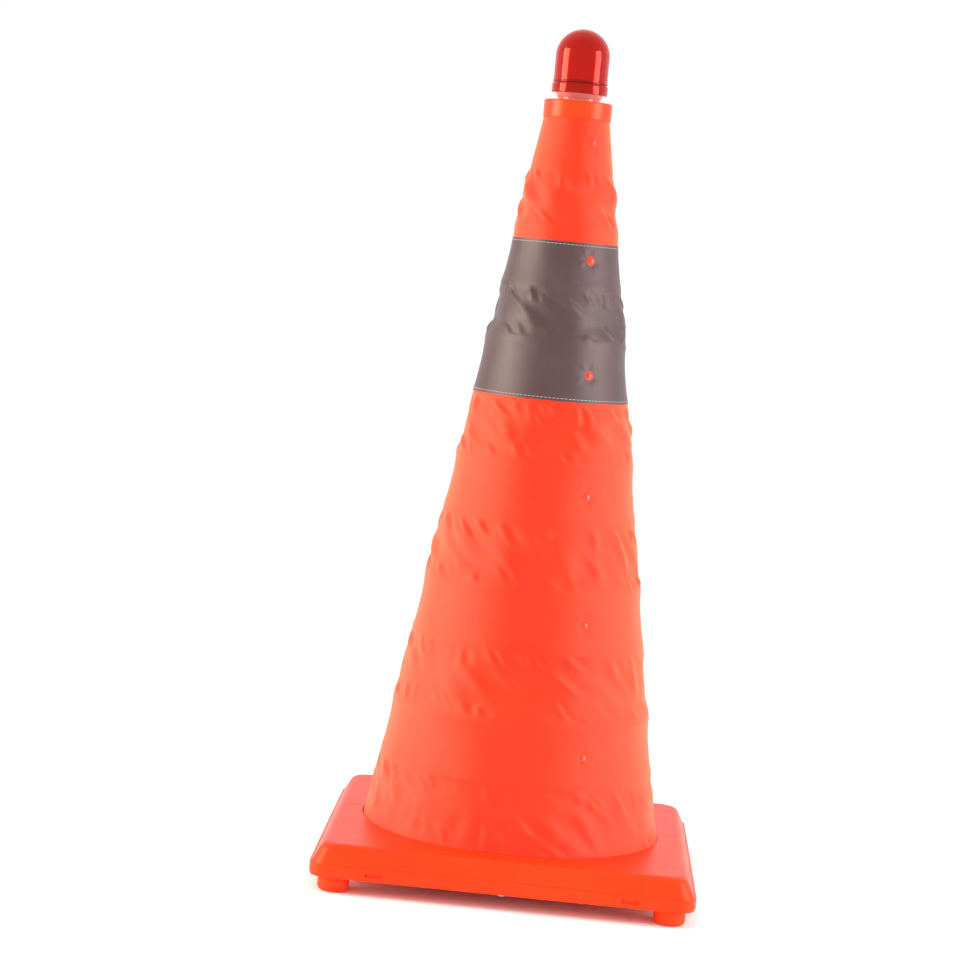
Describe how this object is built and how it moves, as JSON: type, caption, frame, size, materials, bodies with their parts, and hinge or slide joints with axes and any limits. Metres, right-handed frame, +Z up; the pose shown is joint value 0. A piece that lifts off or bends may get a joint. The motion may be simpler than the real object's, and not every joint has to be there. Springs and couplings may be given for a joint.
{
  "type": "collapsible traffic cone with warning lamp",
  "caption": "Fold-down orange cloth road cone on a square base, with a grey reflective band and a red dome warning lamp on top.",
  "frame": {"origin": "centre of the square on which the four feet stand", "axes": "+Z up along the cone's axis, -Y towards the front, +X to the right"},
  "size_m": [0.306, 0.306, 0.7],
  "materials": {
    "base_plastic": "satin moulded plastic",
    "cap_plastic": "satin moulded plastic",
    "cone_cloth": "coated woven polyester",
    "reflective_band": "semi-gloss reflective tape",
    "rivet_plastic": "glossy plastic",
    "pale_plastic": "matte pale plastic",
    "inner_plastic": "matte black plastic",
    "foot_rubber": "matte rubber",
    "seal_rubber": "matte rubber",
    "steel": "zinc plated",
    "clear_plastic": "clear moulded plastic",
    "red_lens": "glossy translucent red plastic",
    "battery": "printed metal sleeve",
    "board": "solder mask",
    "led": "clear epoxy",
    "mirror_plastic": "metallised plastic"
  },
  "bodies": {
    "base": {"base_tray": "base_plastic", "base_shell": "base_plastic", "foot_front_left": "foot_rubber", "foot_front_right": "foot_rubber", "foot_rear_left": "foot_rubber", "foot_rear_right": "foot_rubber", "foot_screws": "steel", "base_screws": "steel", "hem_ring": "inner_plastic", "hem_screws": "steel", "sleeve_hem": "cone_cloth", "catch_socket": "inner_plastic", "catch_screws": "steel", "spring_clips": "inner_plastic", "cone_spring": "steel", "fold_6": "cone_cloth"},
    "hoop_6": {"hoop_6": "inner_plastic", "rivets_6": "rivet_plastic", "sleeve_6": "cone_cloth", "fold_5": "cone_cloth"},
    "hoop_5": {"hoop_5": "inner_plastic", "rivets_5": "rivet_plastic", "sleeve_5": "cone_cloth", "fold_4": "cone_cloth"},
    "hoop_4": {"hoop_4": "inner_plastic", "rivets_4": "rivet_plastic", "sleeve_4": "cone_cloth", "fold_3": "cone_cloth"},
    "hoop_3": {"hoop_3": "inner_plastic", "rivets_3": "rivet_plastic", "sleeve_3": "cone_cloth", "fold_2": "cone_cloth", "band_lower": "reflective_band", "band_fold": "reflective_band"},
    "hoop_2": {"hoop_2": "inner_plastic", "rivets_2": "rivet_plastic", "sleeve_2": "cone_cloth", "fold_1": "cone_cloth", "band_upper": "reflective_band"},
    "top": {"hoop_1": "inner_plastic", "rivets_1": "rivet_plastic", "sleeve_1": "cone_cloth", "cap": "cap_plastic", "lamp_cradle": "inner_plastic", "push_switch": "inner_plastic", "return_spring": "steel"},
    "lamp": {"lamp_housing": "clear_plastic", "retaining_ring": "steel", "battery_holder": "pale_plastic", "battery_cells": "battery", "battery_contacts": "steel", "circuit_board": "board", "leds": "led", "reflector": "mirror_plastic", "lens_seal": "seal_rubber"},
    "lens": {"lens": "red_lens"}
  },
  "joints": [
    {"name": "fold_slide", "type": "slide", "parent": "base", "child": "hoop_6", "axis": [0, 0, 1], "range_m": [-0.0735, 0], "stiffness_N_per_m": 20, "springref_m": 0.4, "deforming": ["cone_spring", "fold_6"]},
    {"name": "hoop_5_slide", "type": "slide", "parent": "hoop_6", "child": "hoop_5", "axis": [0, 0, 1], "range_m": [-0.1052, 0], "stiffness_N_per_m": 20, "springref_m": 0.4, "deforming": ["fold_5"]},
    {"name": "hoop_4_slide", "type": "slide", "parent": "hoop_5", "child": "hoop_4", "axis": [0, 0, 1], "range_m": [-0.1022, 0], "stiffness_N_per_m": 20, "springref_m": 0.4, "deforming": ["fold_4"]},
    {"name": "hoop_3_slide", "type": "slide", "parent": "hoop_4", "child": "hoop_3", "axis": [0, 0, 1], "range_m": [-0.0972, 0], "stiffness_N_per_m": 20, "springref_m": 0.4, "deforming": ["fold_3"]},
    {"name": "hoop_2_slide", "type": "slide", "parent": "hoop_3", "child": "hoop_2", "axis": [0, 0, 1], "range_m": [-0.0922, 0], "stiffness_N_per_m": 20, "springref_m": 0.4, "deforming": ["fold_2", "band_fold"]},
    {"name": "top_slide", "type": "slide", "parent": "hoop_2", "child": "top", "axis": [0, 0, 1], "range_m": [-0.0962, 0], "stiffness_N_per_m": 20, "springref_m": 0.4, "deforming": ["fold_1"]},
    {"name": "lamp_press", "type": "slide", "parent": "top", "child": "lamp", "axis": [0, 0, 1], "range_m": [-0.002, 0], "stiffness_N_per_m": 500, "springref_m": 0.006, "deforming": ["return_spring"]},
    {"name": "lens_twist", "type": "hinge", "parent": "lamp", "child": "lens", "pos_m": [0, 0, 0.652], "axis": [0, 0, 1], "range_deg": [-30, 0]}
  ],
  "couplings": [
    {"joint": "hoop_5_slide", "follows": "fold_slide", "ratio": 1.4286},
    {"joint": "hoop_4_slide", "follows": "fold_slide", "ratio": 1.3878},
    {"joint": "hoop_3_slide", "follows": "fold_slide", "ratio": 1.3197},
    {"joint": "hoop_2_slide", "follows": "fold_slide", "ratio": 1.2517},
    {"joint": "top_slide", "follows": "fold_slide", "ratio": 1.3061}
  ]
}
